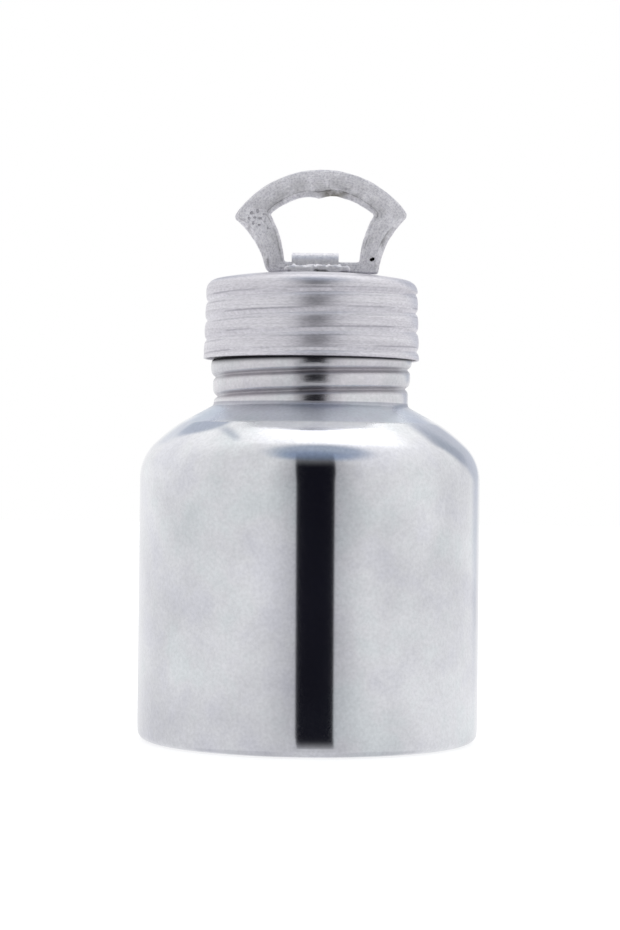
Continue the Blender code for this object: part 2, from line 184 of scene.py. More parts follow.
def turned_parts(parts, names, columns):
    """One grid over parts of a profile, each (radius, height, a value for each mark), and its marks."""
    grid = np.concatenate([turned(part[:2], columns) for part in parts])
    values = [[np.broadcast_to(v, (len(part[0]), columns)) for v in part[2:]] for part in parts]
    return grid, [(name, np.concatenate(rows)) for name, rows in zip(names, zip(*values))]


# %% [markdown]
# ## The thread
#
# A rolled thread on thin sheet has broad bands with a narrow groove between them. Height and angle give a
# place's distance from the groove, measured in turns, and that distance gives the shape of the band. A
# Screw modifier could wind a ridge round the neck, but it would be a second skin and not the sheet itself.

# %% How full a thread's band is


def ease(value):
    """0 below 0, 1 above 1, and 3 v^2 - 2 v^3 between."""
    v = np.clip(value, 0, 1)
    return v * v * (3 - 2 * v)


def from_groove(height, angle):
    """Turns of the groove above the nearest one: 0 in it, 0.5 in mid-band, negative below it."""
    phase = (height - groove_at_back) / PITCH - (angle - math.pi / 2) / (2 * math.pi)
    return phase - np.round(phase)


def band(away, groove, width, peak=0.5):
    """A narrow bell-shaped groove of that share of the depth, on a band crowned by the rest of it."""
    up = away % 1.0
    up = np.where(up < peak, up / peak, (1 - up) / (1 - peak))
    return 1 - groove * np.exp(-((away / width) ** 2)) - (1 - groove) * (1 - up) ** 2


# %% [markdown]
# ## The jar
#
# The real jar is drawn and spun from one sheet, and its neck is rolled afterwards. The profile therefore
# runs as one line: base, heel, wall, shoulder, neck, curled rim, and back down the inside. It is turned
# with numpy rather than with a Spin, because the thread makes the neck's radius vary round it.

# %% The shoulder
BEND_R, CROWN_R, BROW_R, FILLET_R = 16.5, 62.0, 8.0, 1.5
BEND_END, CROWN_END, BROW_END = 46, 55.5, 61.5


def shoulder():
    """The bend from the wall, a flat crown, a tighter brow, a straight cone and the neck's fillet.

    Each arc starts where the one before it ends, with the same direction: its centre lies on the line
    through that end and the centre before it.
    """
    bend = np.array([BODY_R - BEND_R, SHOULDER_Z])
    crown = on_circle(on_circle(bend, BEND_R, BEND_END), -CROWN_R, BEND_END)
    brow = on_circle(on_circle(crown, CROWN_R, CROWN_END), -BROW_R, CROWN_END)
    top, out = on_circle(brow, BROW_R, BROW_END), on_circle(np.zeros(2), 1.0, BROW_END)
    middle_r = NECK_FOOT_R + FILLET_R
    foot = np.array([middle_r, top[1] + (FILLET_R - (middle_r - top[0]) * out[0]) / out[1]])
    return np.concatenate([
        arc(bend, BEND_R, 0, BEND_END, 34),
        arc(crown, CROWN_R, BEND_END, CROWN_END, 14)[1:],
        arc(brow, BROW_R, CROWN_END, BROW_END, 5)[1:],
        line(top, foot - FILLET_R * out, 18)[1:],
        arc(foot, FILLET_R, 180 + BROW_END, 180, 9)[1:],
    ])


neck_foot = shoulder()[-1, 1]
print("shoulder from %.2f to %.2f mm" % (SHOULDER_Z, neck_foot))

# %% Base, heel and wall
FOOT_WIDTH, DISH_WIDTH, HEEL_TOP = 7.0, 2.2, 8.0
DRAWN_IN, DRAWN_IN_FROM = 0.006, 7.0


def below_the_neck():
    """The outside from the middle of the base to the neck's foot, drawn in a little above the heel.

    The base rises as ease(t) over the dish's width. Drawn in by 0.006 * d^2, d mm under the level.
    """
    foot_in, foot_out = BODY_R - HEEL_R - FOOT_WIDTH, BODY_R - HEEL_R
    t = np.linspace(0, 1, 9)
    dish = np.stack([foot_in - DISH_WIDTH * (1 - t), BASE_RISE * (1 - ease(t))], 1)
    outside = np.concatenate([
        line((0.5, BASE_RISE), dish[0], 12)[:-1],
        dish,
        line((foot_in, 0), (foot_out, 0), 4)[1:-1],
        arc((foot_out, HEEL_R), HEEL_R, -90, 0, 14),
        line((BODY_R, HEEL_R), (BODY_R, HEEL_TOP), 10)[1:],
        line((BODY_R, HEEL_TOP), (BODY_R, SHOULDER_Z), 14)[1:-1],
        shoulder(),
    ])
    under = np.clip(DRAWN_IN_FROM - outside[:, 1], 0, 4)
    outside[:, 0] -= DRAWN_IN * under**2 * (outside[:, 0] > foot_out)
    return outside


def inset(points, distance):
    """The line moved to its left: each point plus distance times the normal of its neighbours' chord."""
    chord = np.gradient(points, axis=0)
    normal = np.stack([-chord[:, 1], chord[:, 0]], 1)
    return points + distance * normal / np.linalg.norm(normal, axis=1)[:, None]


print("outside below the neck: %d rows" % len(below_the_neck()))

# %% [markdown]
# ### Where the buffing shows, and painted shade
#
# The corner under the neck is darkened, which is painted shade. The buffing wheel left a hazy patch high on
# the shoulder. The photo shows it in front, and the back has the same one. Each of these places is a mark, a
# value from 0 to about 1 for each point of the mesh, which the material reads later on.

# %% The shoulder's marks
HAZE_FROM, ROUGH_FROM, ROUGH_ROUND_FROM = 104.8, 101.9, 106.0


def shoulder_marks(height, angle):
    """Painted shade in the corner, haze above its level, none of the neck's painted shade, and rough and
    white in the patch.

    The patch covers angles whose |sin| is over 0.84, or over 0.58 above the haze's level. From 106 mm up
    the rest of the way round is rough too, but less so.
    """
    # Painted shade: the corner under the neck is darkened through the dull mark.
    corner = ease((height - neck_foot + 3.5) / 3.0) ** 2
    haze = ease((height - HAZE_FROM) / 0.4)
    facing = np.abs(np.sin(angle))
    narrow, wide = ease((facing - 0.84) / 0.12), ease((facing - 0.58) / 0.18)
    patch = narrow + (wide - narrow) * ease((height - HAZE_FROM + 0.2) / 0.3)
    rough = 1.4 * ease((height - ROUGH_FROM) / 2.0) * patch
    rough = rough + 0.8 * ease((height - ROUGH_ROUND_FROM) / 1.5) * (1 - patch)
    white = ease((height - ROUGH_FROM - 0.5) / 1.0) * (1 - 0.5 * haze) * (1 - ease((height - 107) / 4))
    return 0.7 * corner, haze, 0, rough, white * patch


# %% The neck
def neck(top, wall, spacing, angle):
    """Radius = crest - depth * (1 - share) - wall, and the marks of the thread.

    The crest widens upwards by a few tenths, and the thread runs out at both ends. The groove is dull and
    rough, and whiter at the flanks, and its colour is darkened as painted shade, less at the flanks. Painted
    shade also darkens the neck in front and behind, and a painted shadow lies in a ring under the lid's edge,
    wider on the left.
    """
    z = np.arange(neck_foot + spacing, top - 0.5 * spacing, spacing)[:, None]
    away = from_groove(z, angle)
    share = 1 - (1 - band(away, 0.55, 0.13, 0.38)) * ease((z - neck_foot) / 2.0)
    run = ease((top - z) / 2.0)
    crest = NECK_FOOT_R + 1.2 * ease((z - neck_foot) / 15) - 0.4 * ease((z - 127) / 6)
    radius = under_rim + (crest - THREAD_DEPTH * (1 - share) - under_rim) * run
    sideways, left = np.abs(np.cos(angle)), 0.5 - 0.5 * np.cos(angle)
    flank, middle = ease((sideways - 0.84) / 0.12), 1 - ease((sideways - 0.10) / 0.12)
    dull = np.exp(-(((away + 0.04) / 0.19) ** 4)) * ease((z - neck_foot) / 1.5) * run
    # Painted shadow in a ring under the lid's edge, wider on the left, and painted shade on the neck in front
    # and behind.
    shadow_under_lid = np.exp(-(((z - lid_bottom + 0.4 + 0.5 * left) / (0.45 + 0.7 * left)) ** 2))
    painted_shade = np.maximum(shadow_under_lid, 0.3 * middle * np.maximum(dull, 0.8 * run))
    worn = dull * (0.45 + 0.3 * flank) * (1 - middle)
    return radius - wall, z, dull * (1 - 0.6 * flank), 0, painted_shade, dull, worn


# %% The jar in one piece
def jar_grid(columns=240, step=0.25):
    """Rows up the outside, over the curled rim and down the inside, spun round, with their marks."""
    angle = around(columns)
    below = below_the_neck()
    bead = np.array([under_rim + RIM_LIP - BEAD_R, rim_top - BEAD_R])
    outer = -math.degrees(math.acos((under_rim - bead[0]) / BEAD_R))
    inner = 360 - math.degrees(math.acos((under_rim - WALL - bead[0]) / BEAD_R))
    curl = arc(bead, BEAD_R, outer, inner, 22)
    lining = inset(below, WALL)
    lining = lining[lining[:, 0] > 0.3][::-2]
    parts = [
        (below[:, :1], below[:, 1:], *shoulder_marks(below[:, 1:], angle)),
        neck(curl[0, 1], 0.0, step, angle),
        (curl[:, :1], curl[:, 1:], 0, 0, 0, 0, 0),
        [v[::-1] if np.ndim(v) else v for v in neck(curl[-1, 1], WALL, 3 * step, angle)],
        (lining[:, :1], lining[:, 1:], 0, 0, 0, 0, 0),
    ]
    return turned_parts(parts, ("dull", "haze", "painted_shade", "rough", "white"), columns)


grid, marks = jar_grid()
jar = add_surface("jar_shell", grid, ends="caps", sharp=60, marks=marks)
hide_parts("jar")
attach(jar, "container")

# %% [markdown]
# ## The screw lid
#
# The lid is pressed from the same kind of sheet. Its skirt carries the same thread as the neck, a little
# larger all round, and its top rises to a low flat seat where the clip is riveted. It is turned as the jar
# is, so both threads come from one formula and run together.

# %% The lid's skirt
LID_SHEET, LID_CORNER, LID_FLARE, LID_DEPTH = 0.9, 3.8, 0.7, 0.85
# The seat reaches 0.4 mm past the clip's corners, which lie 9.2 mm to the side.
SEAT_R = math.hypot(9.2, CLIP_REACH) + 0.4
thread_top = lid_top - LID_CORNER


def skirt(sheet, spacing, angle):
    """Radius = outside + flare - sheet - depth * (1 - share), run out at both ends of the skirt.

    Marks: dull is the pale band along the groove, and cut is two thin dark tool lines on each turn.
    """
    z = np.arange(lid_bottom, thread_top, spacing)[:, None]
    away = from_groove(z + 0.3, angle)
    ends = ease((z - lid_bottom) / 2.0) * ease((thread_top + 1.5 - z) / 3.0)
    flare = LID_FLARE * (thread_top - z) / (thread_top - lid_bottom)
    radius = lid_radius - sheet + flare - LID_DEPTH * (1 - band(away, 0.45, 0.09)) * ends
    dull = np.exp(-(((away + 0.07) / 0.17) ** 2)) * ease((thread_top - z) / 4.0)
    cut = np.exp(-(((away - 0.22) / 0.035) ** 2)) + 0.7 * np.exp(-(((away + 0.21) / 0.03) ** 2))
    return radius, z, dull, cut * ends


# %% The lid's top and edge
def lid_crown(sheet):
    """Corner arc, then the crown as a parabola, rise = CROWN_RISE * (1 - share^2), then the flat seat."""
    corner_r = lid_radius - LID_CORNER
    slope = math.degrees(math.atan(2 * CROWN_RISE / (corner_r - SEAT_R)))
    corner = arc((corner_r, thread_top), LID_CORNER - sheet, 0, 90 - slope, 18)
    share = np.linspace(1, 0, 26)[1:, None]
    radius = SEAT_R + (corner[-1, 0] - SEAT_R) * share
    height = visible_seat - sheet - (visible_seat - sheet - corner[-1, 1]) * share**2
    flat = line((SEAT_R, visible_seat - sheet), (0.5, visible_seat - sheet), 14)[1:]
    joined = np.concatenate([corner, np.concatenate([radius, height], 1), flat])
    return joined[:, :1], joined[:, 1:], 0, 0


def lid_grid(columns=256, step=0.25):
    """Rows from the middle of the inside, down the skirt, round its edge and up to the middle on top."""
    angle = around(columns)
    turn = np.linspace(-math.pi, 0, 10)[1:-1, None]
    edge_r = lid_radius + LID_FLARE - LID_SHEET / 2
    edge = (edge_r + LID_SHEET / 2 * np.cos(turn), lid_bottom + 0.3 * np.sin(turn), 0, 0)
    inside = lid_crown(LID_SHEET)
    parts = [
        (inside[0][::-1], inside[1][::-1], 0, 0),
        [v[::-1] for v in skirt(LID_SHEET, 2 * step, angle)],
        edge,
        skirt(0.0, step, angle),
        lid_crown(0.0),
    ]
    return turned_parts(parts, ("dull", "cut"), columns)


grid, marks = lid_grid()
lid = add_surface("lid_shell", grid, ends="caps", sharp=60, marks=marks)
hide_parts("screw_lid")
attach(lid, "lid")

# %% [markdown]
# ## The seal washer
#
# Inside the lid lies a flat white washer. It only shows when the lid is off, so a turned ring with softened
# edges is enough. Its top stays a tenth of a millimetre under the lid's inside.

# %% The washer
(_, _, seal_low), (seal_out, _, seal_high) = limits("lid_seal")
seal_in, seal_top = 27.6, seal_high - 0.12
ring = np.concatenate([
    arc((seal_out - 0.3, seal_low + 0.3), 0.3, -90, 0, 5),
    arc((seal_out - 0.8, seal_top - 0.8), 0.8, 0, 90, 7),
    arc((seal_in + 0.3, seal_top - 0.3), 0.3, 90, 180, 5),
    arc((seal_in + 0.3, seal_low + 0.3), 0.3, 180, 270, 5),
])
seal = add_surface("seal_washer", turned((ring[:, :1], ring[:, 1:]), 192), sharp=50)
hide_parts("lid_seal")
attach(seal, "seal")

# %% [markdown]
# ## The clip and its rivets
#
# The clip is a strip of sheet bent over the handle's bar, with a foot in front and one behind. Its outline
# is drawn once from the side and pulled along X, and a fine bevel breaks the sheared edges. A flat plate
# bent by modifiers would do as well, but this way the arch keeps its clearance to the bar.

# %% The clip's outline


def clip_outline():
    """The strip from the side, in (y, z): front foot, arch and rear foot outside, then back inside."""
    outer_r = CLIP_IN + CLIP_SHEET
    arch = CLIP_RISE - outer_r
    bend = (outer_r + CLIP_BEND, CLIP_SHEET + CLIP_BEND)
    outer = np.concatenate([
        line((CLIP_REACH, 0), (CLIP_REACH, CLIP_SHEET), 2),
        arc(bend, CLIP_BEND, -90, -180, 7),
        arc((0, arch), outer_r, 0, 90, 16),
    ])
    inner = np.concatenate([
        arc((0, arch), CLIP_IN, 90, 0, 16),
        arc(bend, CLIP_BEND + CLIP_SHEET, -180, -90, 7),
    ])
    flip = np.array([-1, 1])
    half_outer, half_inner = outer[:-1][::-1] * flip, inner[1:][::-1] * flip
    return np.concatenate([outer, half_outer, half_inner, inner]) + np.array([0, clip_base])


def pulled(outline, low, high, count):
    """An outline in (y, z) repeated at even steps of x: one row for each step."""
    return np.stack(np.broadcast_arrays(np.linspace(low, high, count)[:, None], *outline.T), -1)


# %% The strip
def break_edges(piece, width, segments=2, angle=40):
    """A bevel on edges sharper than the angle, then smooth shading."""
    bevel = piece.modifiers.new("broken_edges", "BEVEL")
    bevel.width, bevel.segments = width * MM, segments
    bevel.limit_method, bevel.angle_limit = "ANGLE", math.radians(angle)
    piece.data.shade_smooth()
    piece.data.set_sharp_from_angle(angle=math.radians(30))


clip = add_surface("clip_strip", pulled(clip_outline(), clip_x - 7.8, clip_x + 7.8, 12), ends="flat")

# %% [markdown]
# ### The hammered foot
#
# The front foot was hammered flat by hand. It spread wider than the strip, its edge is thick and wavy, and
# on the right it lifts off the lid. It is a closed section carried along X whose points wander by a few
# sines, and a Boolean joins it to the strip. Sculpting would give the same look but no formula for it.

# %% The foot's surface
FOOT_Y, FOOT_HALF, FOOT_Z = -7.1, 2.8, 0.95


def foot_grid(low=-9.2, high=12.5, count=90):
    """Section of 20 points in (y, z) at each x: a flat oval whose half width, height and lift are sines of x.

    The oval is (sign(cos t) |cos t|^0.6, sign(sin t) |sin t|^0.6), dented on its upper side.
    """
    x = np.linspace(low, high, count)[:, None]
    t = around(20)
    over, up = np.cos(t), np.sin(t)
    ends = np.clip(1 - ((2 * x - low - high) / (high - low)) ** 12, 0, 1) ** 0.5
    wave = np.sin(x * 0.9 + 0.6) + 0.6 * np.sin(x * 2.1 + 1.9) + 0.4 * np.sin(x * 3.7)
    thick = (1.15 + 0.16 * wave) * (0.35 + 0.65 * ends)
    lift = 0.30 * ease((x - 0.5) / 2.0) - 0.28 * ease((x - 5.0) / 4.0)
    half = (FOOT_HALF + 0.10 * np.sin(x * 1.3)) * (0.9 + 0.1 * ends)
    y = FOOT_Y + half * np.sign(over) * np.abs(over) ** 0.6
    dent = (0.24 * np.sin(x * 1.7 + 3 * t) + 0.14 * np.sin(x * 3.3 - 2 * t)) * np.clip(up, 0, 1)
    z = clip_base + FOOT_Z + lift + thick * np.sign(up) * np.abs(up) ** 0.6 + dent
    return np.stack(np.broadcast_arrays(x, y, z), -1)


# %% Joining the foot to the strip
def joined_by(piece, other, operation):
    """Adds another piece to this one, or cuts it away, for good and as one closed mesh."""
    cut = piece.modifiers.new("join", "BOOLEAN")
    cut.operation, cut.solver, cut.object = operation, "EXACT", other
    bpy.context.view_layer.update()
    made = bpy.data.meshes.new_from_object(piece.evaluated_get(bpy.context.evaluated_depsgraph_get()))
    piece.modifiers.clear()
    piece.data = made
    bpy.data.objects.remove(other)


def read(items, what, size):
    """One property of all points or faces of a mesh, as rows of that many numbers."""
    values = np.zeros(len(items) * size)
    items.foreach_get(what, values)
    return values.reshape(-1, size)


def under_foot(p):
    """Painted shadow in the gap below the foot's lifted part: front points near the lid, for x from 0.2 to
    5.4.
    """
    low = ease((clip_base + 0.75 - p[:, 2]) / 0.3) * (p[:, 1] < -5.0)
    return low * ease((p[:, 0] - 0.2) / 0.8) * (1 - ease((p[:, 0] - 4.6) / 0.8))


joined_by(clip, add_surface("hammered_foot", foot_grid(), ends="caps", sharp=60), "UNION")
# The gap under the foot's lifted part is painted dark as a shadow.
keep_mark(clip.data, "painted_shadow", "POINT", under_foot(read(clip.data.vertices, "co", 3) / MM))
break_edges(clip, 0.12, angle=50)
print("clip: %d faces" % len(clip.data.polygons))
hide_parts("handle_clip")
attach(clip, "lid")

# %% The rivets
RIVET_X, RIVET_Y = -0.4, 6.7
TAIL_R, SHANK_R, HEAD_R, DOME = 2.3, 1.4, 2.2, 1.05


def rivet_grid(centre_y):
    """Tail, shank and domed head spun about the rivet's axis; the hammer left the head out of round.

    The dome is (2.2 cos^0.8 a, 1.05 sin a), and its radius shrinks by sines of two and three times the turn.
    """
    head_z = clip_base + CLIP_SHEET + 0.3
    tail_z = seat_top - LID_SHEET - 0.3
    a = np.linspace(0, 1, 12) * math.pi / 2
    dome = np.stack([HEAD_R * np.cos(a) ** 0.8, head_z + 0.25 + DOME * np.sin(a)], 1)
    profile = np.concatenate([
        line((0.2, tail_z - 0.9), (TAIL_R - 0.2, tail_z - 0.9), 4),
        line((TAIL_R, tail_z - 0.7), (TAIL_R, tail_z), 2),
        line((SHANK_R, tail_z), (SHANK_R, head_z), 2),
        line((HEAD_R - 0.1, head_z), (HEAD_R, head_z + 0.1), 2),
        dome[:-1],
    ])
    grid = turned((profile[:, :1], profile[:, 1:]), 40)
    high = np.clip((grid[..., 2:] - head_z) / 1.3, 0, 1)
    turn = np.arctan2(grid[..., 1:2], grid[..., :1])
    squashed = 1 - high * (0.10 * np.sin(2 * turn + 0.7) + 0.07 * np.sin(3 * turn))
    return grid * np.concatenate([squashed, squashed, squashed**0], -1) + np.array([RIVET_X, centre_y, 0])


rivets = []
for end, way in (("front", -1), ("rear", 1)):
    rivet = add_surface("rivet_" + end, rivet_grid(way * RIVET_Y), ends="caps", sharp=40)
    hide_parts("clip_rivet_" + end)
    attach(rivet, "lid")
    rivets.append(rivet)

# %% [markdown]
# ## The handle
#
# The handle is cast in one piece: a bar, two legs that lean outwards and a fan-shaped grip. Its outer and
# inner edges are two lines with the same number of points, and a bevelled section is carried along them.
# Extruding a flat outline would give every edge the same bevel, and the real casting's bevels change.

# %% Curves for the handle's edges
FAN_R, FAN_BAND, FAN_DROP, FAN_CORNER = 35.0, 8.5, 2.6, 49.4
BAR_HALF, BAR_UNDER, BAR_TOP, HALF_THICK = 12.4, -2.2, 1.7, 2.2


def bowed(start, end, bow, count):
    """start + chord * t + left * 4 bow t (1 - t): a shallow parabola to the left of its chord."""
    start, end = np.array(start), np.array(end)
    chord = end - start
    left = np.array([-chord[1], chord[0]]) / np.linalg.norm(chord)
    t = np.linspace(0, 1, count)[:, None]
    return start + chord * t + left * 4 * bow * t * (1 - t)


def rounded(before, corner, after, radius, count):
    """The arc of that radius that touches both sides of a corner."""
    before, corner, after = (np.array(p, float) for p in (before, corner, after))
    back, on = ((p - corner) / np.linalg.norm(p - corner) for p in (before, after))
    half = math.acos(np.clip(back @ on, -1, 1)) / 2
    middle = (back + on) / np.linalg.norm(back + on)
    centre = corner + middle * radius / math.sin(half)
    first = corner + back * radius / math.tan(half) - centre
    last = corner + on * radius / math.tan(half) - centre
    start = math.atan2(first[1], first[0])
    turn = math.atan2(first[0] * last[1] - first[1] * last[0], first @ last)
    return arc(centre, radius, math.degrees(start), math.degrees(start + turn), count)


# %% Half of the handle
def half_handle(foot_half, foot_radius, tip_angle, tip_radius, cusp):
    """Outer and inner edge from the middle of the bar to the top, about the pivot, and each row's bevels.

    The fan's inner edge hangs by up to 1.2 mm in a cusp near the middle: 1.2 (1 - |x - cusp| / 5.5)^1.6.
    """
    fan, inner_r = np.array([0, -FAN_DROP]), FAN_R - FAN_BAND
    tip, corner = on_circle(fan, FAN_R, tip_angle), on_circle(fan, inner_r, FAN_CORNER)
    foot, crotch = np.array([foot_half, BAR_UNDER]), np.array([BAR_HALF, BAR_TOP])
    fan_out = arc(fan, FAN_R, tip_angle, 90, 56)
    fan_in = arc(fan, inner_r, FAN_CORNER, 90, 56)
    fan_in[:, 1] -= 1.2 * np.clip(1 - np.abs(fan_in[:, 0] - cusp) / 5.5, 0, 1) ** 1.6

    def edge(low, low_r, straight, high, high_r, bow, grip):
        """Along the bar, round the low corner, up the leg, round the high corner and along the grip."""
        leg = bowed(low, high, bow, 30)
        return np.concatenate([
            line((0, low[1]), (straight, low[1]), 14),
            rounded((0, low[1]), low, leg[4], low_r, 8),
            leg[4:-3],
            rounded(leg[-4], high, grip[4], high_r, 8),
            grip[3:],
        ])

    outer = edge(foot, foot_radius, foot_half - foot_radius - 0.4, tip, tip_radius, 2.0, fan_out)
    inner = edge(crotch, 0.9, BAR_HALF - 1.2, corner, 1.0, 1.0, fan_in)
    widths = (((0.9, 0.9), 14 + 8), ((1.9, 1.2), 23), ((1.3, 1.4), 8), ((0.6, 2.0), 53))
    return outer, inner, np.concatenate([np.tile(pair, (count, 1)) for pair, count in widths])


# %% The casting's section
def blur_rows(values, reach):
    """Each row averaged with its neighbours on the closed loop, weighted by a raised cosine."""
    weights = 1 + np.cos(np.linspace(-math.pi, math.pi, 2 * reach + 3)[1:-1])
    weights /= weights.sum()
    shifts = range(-reach, reach + 1)
    return sum(w * np.roll(values, s, axis=0) for w, s in zip(weights, shifts))


def uneven(along, size):
    """A cast edge's waver: three sines of unlike wavelengths along the edge."""
    waves = ((9.3, 0.4, 0.5), (4.7, 2.1, 0.3), (2.6, 4.0, 0.2))
    return size * sum(part * np.sin(2 * math.pi * along / length + start) for length, start, part in waves)


def section(o, i, bevels, thick):
    """Seven (across, depth) pairs in front, from the outer edge to the inner one, and the same behind.

    Each edge is bevelled, and a fine step runs beside the inner bevel.
    """
    drop = np.minimum(bevels * 0.8, thick[:, None] - 0.5)
    front = [
        (o, -(thick - drop[:, 0])),
        (o - bevels[:, 0], -thick),
        (o - bevels[:, 0] - 0.35, -thick),
        (i + bevels[:, 1] + 0.12, -thick),
        (i + bevels[:, 1], -thick + 0.28),
        (i + bevels[:, 1] - 0.25, -thick + 0.32),
        (i, -(thick - drop[:, 1])),
    ]
    return front + [(across, -depth) for across, depth in front[::-1]]


def casting_marks(inner, free):
    """How dark each point's step line and stain are.

    The line is painted shade on the inner bevel's step all round, and on the legs also on the outer bevel.
    The stain lies at the grip's inner edge, a little right of the middle.
    """
    on_fan = ease((inner[:, 1:] - 15.0) / 4.0)
    front = np.array([[0, 0, 0, 0.4, 1, 0.4, 0]]) * (0.7 + 0.3 * on_fan)
    front = (front + np.array([[0, 0.8, 0, 0, 0, 0, 0]]) * (1 - on_fan)) * free[:, None]
    stain = np.array([[0, 0, 0, 0, 0.6, 1, 1, 1, 1, 0.6, 0, 0, 0, 0]])
    stain = stain * np.exp(-(((inner[:, :1] - 3.4) / 3.6) ** 4)) * (inner[:, 1:] > 10.0)
    return np.concatenate([front, front[:, ::-1]], 1), stain


# %% The handle in one piece
def handle_grid():
    """Point = middle of the two edges + unit vector across them * offset, with the depth along Y.

    Offsets and depths are the section's 14 pairs, and rows run once round the whole handle.
    """
    right_out, right_in, right_bevels = half_handle(18.9, 1.0, 34.6, 1.6, -1.1)
    left_out, left_in, left_bevels = half_handle(18.5, 3.0, 32.4, 1.3, 1.1)
    flip = np.array([-1, 1])
    outer = np.concatenate([right_out, left_out[1:-1][::-1] * flip])
    inner = np.concatenate([right_in, left_in[1:-1][::-1] * flip])
    bevels = blur_rows(np.concatenate([right_bevels, left_bevels[1:-1][::-1]]), 4)
    middle, across = (outer + inner) / 2, outer - inner
    along = np.concatenate([[0], np.cumsum(np.linalg.norm(np.diff(middle, axis=0), axis=1))])
    width = np.linalg.norm(across, axis=1)
    across /= width[:, None]
    on_bar = blur_rows((outer[:, 1] < -0.5).astype(float)[:, None], 3)[:, 0]
    free = 1 - on_bar
    out_edge = width / 2 - 0.12 + uneven(along, 0.09) * free
    in_edge = -width / 2 + 0.12 + uneven(along + 31, 0.09) * free
    pairs = section(out_edge, in_edge, bevels, HALF_THICK - 0.3 * on_bar)
    offset, depth = (np.stack([pair[k] for pair in pairs], 1) for k in (0, 1))
    x, z = (middle[:, k, None] + across[:, k, None] * offset + pivot[2 * k] for k in (0, 1))
    step, stain = casting_marks(inner, free)
    marks = [("along", along[:, None]), ("across", offset), ("step", step), ("stain", stain)]
    return np.stack([x, depth, z], -1), marks


grid, marks = handle_grid()
handle = add_surface("cast_handle", grid, sharp=30, marks=marks)
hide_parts("handle")
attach(handle, "handle")

# %% [markdown]
# ## Blow-holes in the casting
#
# Gas leaves small holes in a sand casting: one deep hole in the right foot, and a cluster of shallow ones at
# the upper left corner. Each is an oval bowl that a Boolean takes out of the handle's face. A bump would do
# for the shallow ones, but the deep one needs its real shadow. The bowls' faces are also darkened as painted
# shade.

# %% The holes
# x and z from the bar's middle, half width, half height and depth. The first two make one deep hole.
HOLES = np.array([
    (16.55, 2.50, 0.66, 0.54, 2.2),
    (17.00, 2.75, 0.58, 0.60, 1.6),
    (-23.4, 17.6, 0.75, 0.55, 0.60),
    (-21.5, 18.3, 0.50, 0.80, 0.55),
    (-22.4, 16.1, 0.60, 0.42, 0.50),
    (-20.7, 15.8, 0.80, 0.42, 0.55),
    (-24.3, 15.8, 0.45, 0.60, 0.45),
    (-19.3, 17.2, 0.55, 0.38, 0.45),
    (-22.9, 14.3, 0.42, 0.65, 0.45),
    (-20.9, 13.7, 0.55, 0.36, 0.45),
    (-19.2, 14.8, 0.42, 0.36, 0.40),
    (-18.0, 12.6, 0.36, 0.42, 0.35),
])


def bowl(hole, rows=12, columns=20):
    """An oval about a point of the front face: sin t cos a wide, sin t sin a high and cos t deep."""
    x, z, wide, high, deep = hole
    t = np.linspace(0.1, math.pi - 0.1, rows)[:, None]
    a = around(columns)
    across, up = pivot[0] + x + wide * np.sin(t) * np.cos(a), pivot[2] + z + high * np.sin(t) * np.sin(a)
    return np.stack(np.broadcast_arrays(across, -HALF_THICK + deep * np.cos(t), up), -1)


def in_holes(mesh):
    """For each face, 1 inside a deep hole's outline, 0.18 inside a shallow one's, and 0 elsewhere.

    Only small faces below the handle's surface count, so the painted shade stays off the surface itself.
    """
    centre = read(mesh.polygons, "center", 3) / MM - pivot
    over = (centre[:, :1] - HOLES[:, 0]) / HOLES[:, 2]
    up = (centre[:, 2:] - HOLES[:, 1]) / HOLES[:, 3]
    small = read(mesh.polygons, "area", 1) < 0.4 * MM**2
    inside = (np.hypot(over, up) < 1.0) & small & (np.abs(centre[:, 1:2]) < HALF_THICK - 0.03)
    return (inside * np.where(HOLES[:, 4] > 1, 1.0, 0.18)).max(1)


break_edges(handle, 0.3, segments=3, angle=18)
for hole in HOLES:
    joined_by(handle, add_surface("hole", bowl(hole), ends="caps"), "DIFFERENCE")
# Painted shade inside the blow-holes: their faces are darkened, fully in the deep hole and a little in the
# shallow ones.
keep_mark(handle.data, "painted_shadow", "FACE", in_holes(handle.data))
handle.data.shade_smooth()
handle.data.set_sharp_from_angle(angle=math.radians(30))
print("handle after the holes: %d faces" % len(handle.data.polygons))

# %% [markdown]
# ## Materials
#
# All the metal is aluminium, and only its working differs. Spinning and buffing leave a mirror with a
# cloudy bloom, turning leaves fine rings, and casting leaves a dull grain. Colours are given as they look
# on a screen, and one function turns them to the linear values that the shader wants.

# %% Colours and nodes


def linear(colour):
    """sRGB hex to linear: c / 12.92 below 0.04045, and ((c + 0.055) / 1.055)^2.4 above."""
    c = np.array([int(colour[k : k + 2], 16) for k in (0, 2, 4)]) / 255
    low, high = c / 12.92, ((c + 0.055) / 1.055) ** 2.4
    return (*np.where(c <= 0.04045, low, high).tolist(), 1.0)


def fill(tree, node, inputs):
    """Gives a node's inputs, by name or in order, values, outputs or nodes, which mean their first output."""
    for name, value in inputs.items() if isinstance(inputs, dict) else enumerate(inputs):
        if isinstance(value, bpy.types.Node):
            value = value.outputs[0]
        if isinstance(value, bpy.types.NodeSocket):
            tree.links.new(value, node.inputs[name])
        else:
            node.inputs[name].default_value = value


def add_node(tree, kind, inputs=(), stops=(), **settings):
    """Adds one node with its settings, its links and, on a colour ramp, its (position, colour) stops."""
    node = tree.nodes.new("ShaderNode" + kind)
    for name, value in settings.items():
        setattr(node, name, value)
    fill(tree, node, inputs)
    for _ in stops[2:]:
        node.color_ramp.elements.new(0.5)
    for k, (position, colour) in enumerate(stops):
        node.color_ramp.elements[k].position = position
        node.color_ramp.elements[k].color = linear(colour)
    return node


